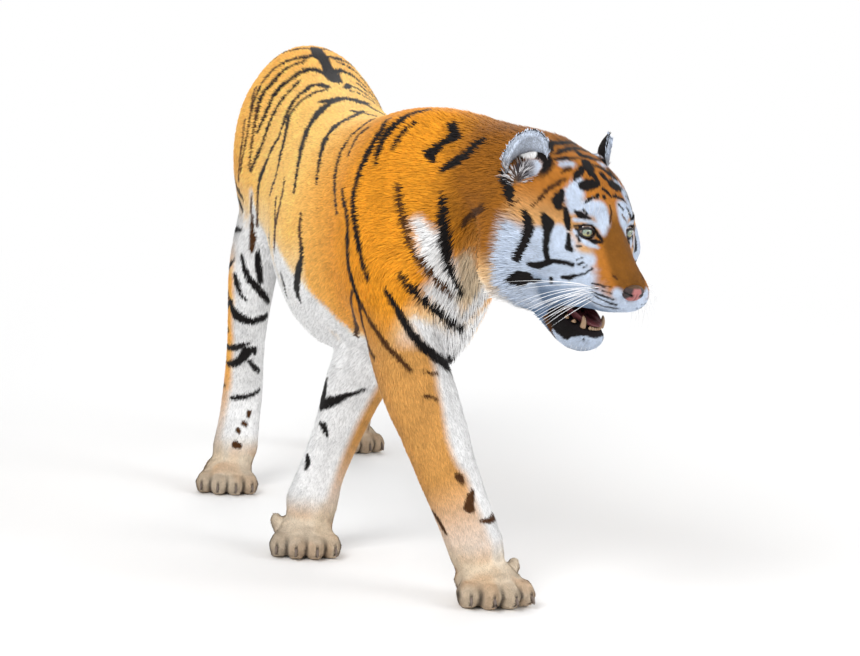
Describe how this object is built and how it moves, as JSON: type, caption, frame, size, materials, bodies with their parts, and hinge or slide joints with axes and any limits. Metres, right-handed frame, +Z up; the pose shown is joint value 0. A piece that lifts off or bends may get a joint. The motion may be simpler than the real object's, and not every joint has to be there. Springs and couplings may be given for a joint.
{
  "type": "tiger",
  "caption": "Life-size still model of a tiger in mid walk, head low and turned to its left, mouth open, tail hanging.",
  "frame": {"origin": "on the floor under the middle of the bounding box", "axes": "+Z up, the tiger faces -Y with its left side towards +X"},
  "size_m": [0.6262, 1.9998, 0.9558],
  "materials": {
    "coat_orange": "short orange tiger fur with black stripes",
    "coat_rust": "dense rust-brown tiger fur with black stripes",
    "coat_cream": "short cream to white tiger fur with black marks",
    "eye": "wet, clear cornea over a pale green iris",
    "nose_skin": "bare, moist pink skin",
    "tongue_skin": "wet pink skin"
  },
  "bodies": {
    "root": {"rump": "coat_orange", "waist": "coat_orange", "chest": "coat_orange", "neck": "coat_rust", "tail_root": "coat_orange", "tail_middle": "coat_orange", "tail_tip": "coat_orange", "head": "coat_rust", "jaw": "coat_cream", "left_ear": "coat_cream", "right_ear": "coat_cream", "left_eye": "eye", "right_eye": "eye", "nose": "nose_skin", "tongue": "tongue_skin", "right_fore_upper_leg": "coat_orange", "right_fore_lower_leg": "coat_cream", "right_fore_paw": "coat_cream", "left_fore_upper_leg": "coat_cream", "left_fore_lower_leg": "coat_cream", "left_fore_paw": "coat_cream", "right_hind_upper_leg": "coat_orange", "right_hind_lower_leg": "coat_cream", "right_hind_paw": "coat_cream", "left_hind_upper_leg": "coat_cream", "left_hind_lower_leg": "coat_cream", "left_hind_paw": "coat_cream"}
  },
  "joints": []
}
